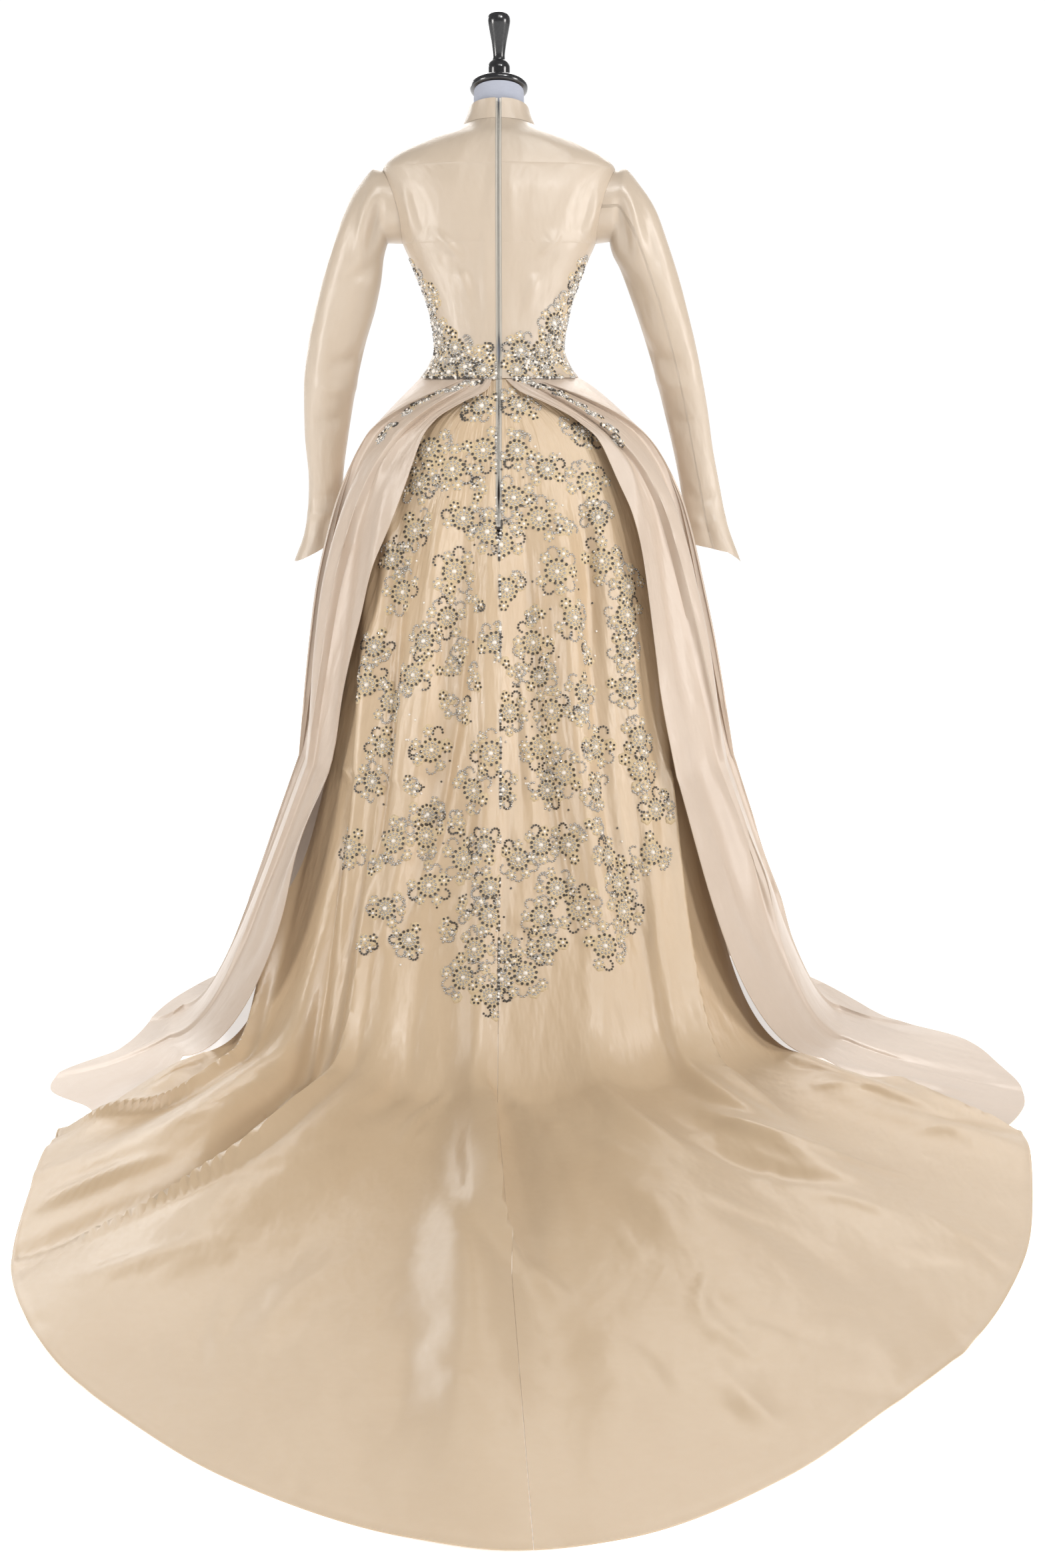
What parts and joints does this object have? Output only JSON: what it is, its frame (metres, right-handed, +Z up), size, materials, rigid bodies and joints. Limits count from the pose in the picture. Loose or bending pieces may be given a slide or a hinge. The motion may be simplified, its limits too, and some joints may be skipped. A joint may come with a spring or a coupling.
{
  "type": "wedding dress on a dress form",
  "caption": "Long-sleeved satin wedding dress with a stand collar, back zip, swagged overskirt and fan train, held up by a limbless dress form on a pole with a round foot.",
  "frame": {"origin": "middle of the foot's underside, on the floor below the form's pole", "axes": "+Z up, +Y the way the wearer faces, so the train lies towards -Y; the wearer's left is -X"},
  "size_m": [1.4318, 2.0905, 1.563],
  "materials": {
    "satin": "heavy ivory satin",
    "overskirt_satin": "heavy ivory satin, a little pinker",
    "zip_tape": "woven cotton tape",
    "form_linen": "pale linen over padding",
    "black_wood": "gloss black lacquer",
    "black_iron": "black paint"
  },
  "bodies": {
    "root": {"form_torso": "form_linen", "neck_cap": "black_wood", "finial": "black_wood", "stand_pole": "black_iron", "stand_foot": "black_iron", "bodice_front": "satin", "bodice_back_left": "satin", "bodice_back_right": "satin", "collar": "satin", "zip_tape_left": "zip_tape", "zip_tape_right": "zip_tape", "sleeve_left": "satin", "sleeve_right": "satin", "overskirt_left": "overskirt_satin", "overskirt_right": "overskirt_satin", "train_left": "satin", "train_right": "satin", "skirt_front": "satin"}
  },
  "joints": []
}
